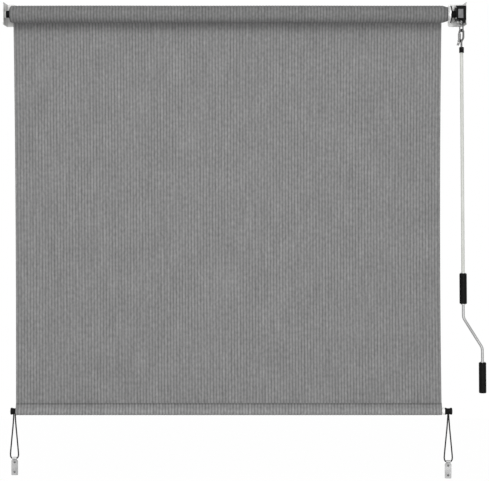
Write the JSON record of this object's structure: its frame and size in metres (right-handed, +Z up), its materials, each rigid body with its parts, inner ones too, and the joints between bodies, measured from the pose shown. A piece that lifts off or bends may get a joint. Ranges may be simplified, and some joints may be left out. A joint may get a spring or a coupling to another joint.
{
  "type": "outdoor roller shade",
  "caption": "Crank-operated outdoor roller shade with wall brackets, a worm gearbox with an eye, ribbed cloth on a roller tube, a hem bar, elastic tie-downs and a detachable hooked crank.",
  "frame": {"origin": "middle of the four wall screw holes, on the wall plane", "axes": "+X along the roller to the gearbox end, +Y into the wall, +Z up"},
  "size_m": [1.7055, 0.1384, 1.701],
  "materials": {
    "zinc_sheet": "zinc plated",
    "black_plastic": "moulded",
    "grey_plastic": "moulded",
    "plated_steel": "plated",
    "dark_screws": "dark",
    "brass": "machined",
    "knitted_cloth": "knitted, ribbed",
    "tube_aluminium": "drawn",
    "hem_aluminium": "pale",
    "bright_hook": "bright",
    "ivory_pole": "satin",
    "grey_rod": "satin",
    "black_grip": "satin",
    "elastic_cord": "braided",
    "pale_nylon": "moulded"
  },
  "bodies": {
    "brackets": {"left_bracket": "zinc_sheet", "right_bracket": "zinc_sheet", "idler_bush": "pale_nylon", "gearbox_housing": "black_plastic", "gearbox_cover": "black_plastic", "cover_screws": "plated_steel", "gearbox_screws": "plated_steel", "worm_bush": "black_plastic", "front_plate": "grey_plastic", "shade_panel": "knitted_cloth"},
    "roller": {"roller_tube": "tube_aluminium", "fabric_roll": "knitted_cloth", "idler_plug": "black_plastic", "idler_pin": "plated_steel", "drive_plug": "tube_aluminium", "drive_flange": "black_plastic", "drive_shaft": "plated_steel", "worm_wheel": "brass"},
    "worm": {"worm_shaft": "plated_steel", "worm_eye": "bright_hook", "eye_pin": "plated_steel"},
    "hem": {"hem_pocket": "knitted_cloth", "hem_tube": "hem_aluminium", "left_hem_cap": "black_plastic", "right_hem_cap": "black_plastic", "left_cord": "elastic_cord", "right_cord": "elastic_cord", "left_tie_plate": "plated_steel", "right_tie_plate": "plated_steel", "left_tie_screws": "dark_screws", "right_tie_screws": "dark_screws"},
    "upper_handle": {"upper_grip": "black_grip"},
    "crank": {"crank_hook": "bright_hook", "gate_pin": "plated_steel", "gate_spring": "plated_steel", "crank_collar": "black_plastic", "crank_pole": "ivory_pole", "crank_rod": "grey_rod", "grip_washers": "plated_steel"},
    "gate": {"hook_gate": "bright_hook"},
    "lower_handle": {"lower_grip": "black_grip"}
  },
  "joints": [
    {"name": "roller_spin", "type": "hinge", "parent": "brackets", "child": "roller", "pos_m": [0, -0.05065, 0], "axis": [1, 0, 0], "range_deg": [0, 2290.91]},
    {"name": "hem_lift", "type": "slide", "parent": "brackets", "child": "hem", "axis": [0, 0, 1], "range_m": [0, 1.3501], "deforming": ["shade_panel"]},
    {"name": "worm_spin", "type": "hinge", "parent": "brackets", "child": "worm", "pos_m": [0.8035, -0.06714, 0.00072], "axis": [0, 0.0436, 0.999], "range_deg": [0, 25200.1]},
    {"name": "crank_swing", "type": "hinge", "parent": "brackets", "child": "upper_handle", "pos_m": [0.8035, -0.06994, -0.06352], "axis": [-0.7071, -0.7064, 0.0308], "range_deg": [0, 50]},
    {"name": "crank_spin", "type": "hinge", "parent": "upper_handle", "child": "crank", "pos_m": [0.8035, -0.06714, 0.00072], "axis": [0, 0.0436, 0.999], "range_deg": [0, 25200.1]},
    {"name": "gate_pivot", "type": "hinge", "parent": "crank", "child": "gate", "pos_m": [0.79749, -0.06537, -0.09645], "axis": [0.7071, 0.7064, -0.0308], "range_deg": [0, 20], "stiffness_Nm_per_rad": 0.05, "springref_deg": -17.19},
    {"name": "lower_grip_spin", "type": "hinge", "parent": "crank", "child": "lower_handle", "pos_m": [0.8695, -0.06714, 0.00072], "axis": [0, 0.0436, 0.999], "continuous": true}
  ],
  "couplings": [
    {"joint": "hem_lift", "follows": "roller_spin", "m_per_rad": 0.033764},
    {"joint": "worm_spin", "follows": "roller_spin", "ratio": 11},
    {"joint": "crank_spin", "follows": "roller_spin", "ratio": 11}
  ]
}
